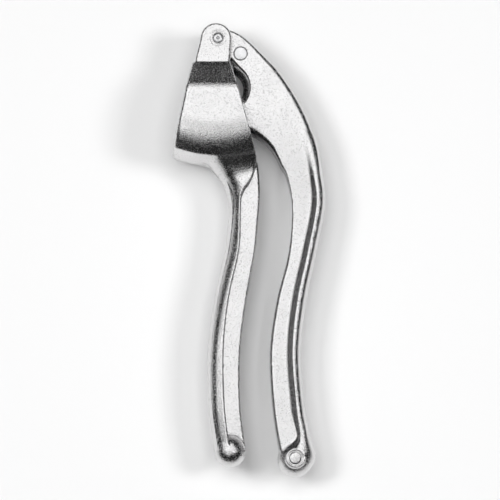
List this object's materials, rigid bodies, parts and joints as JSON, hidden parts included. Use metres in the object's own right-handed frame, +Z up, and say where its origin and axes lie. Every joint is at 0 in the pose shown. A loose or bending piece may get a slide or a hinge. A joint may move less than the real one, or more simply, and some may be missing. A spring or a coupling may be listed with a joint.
{
  "type": "garlic press",
  "caption": "Die-cast hinged garlic press: a pierced hopper on the lower handle, and an arched lever that drives a plunger; both handles end in balls.",
  "frame": {"origin": "middle of the base of the box around the closed press, which lies on its side", "axes": "+Y from the handle ends to the hinge, +Z up and along both hinge axes, +X from the hopper's floor to its mouth"},
  "size_m": [0.0596, 0.1798, 0.036],
  "materials": {
    "cast_aluminium": "bright die casting, fine grain and small pits",
    "pin_steel": "plain steel, peened ends"
  },
  "bodies": {
    "hopper_side": {"hopper_handle": "cast_aluminium", "hinge_pin": "pin_steel"},
    "lever_side": {"lever_handle": "cast_aluminium", "plunger_pin": "pin_steel"},
    "plunger_body": {"plunger": "cast_aluminium"}
  },
  "joints": [
    {"name": "lever_hinge", "type": "hinge", "parent": "hopper_side", "child": "lever_side", "pos_m": [-0.01279, 0.08365, 0.018], "axis": [0, 0, 1], "range_deg": [0, 170]},
    {"name": "plunger_hinge", "type": "hinge", "parent": "lever_side", "child": "plunger_body", "pos_m": [-0.00389, 0.07825, 0.018], "axis": [0, 0, 1], "range_deg": [-26, 0]}
  ],
  "couplings": [
    {"joint": "plunger_hinge", "follows": "lever_hinge", "ratio": -0.15}
  ]
}
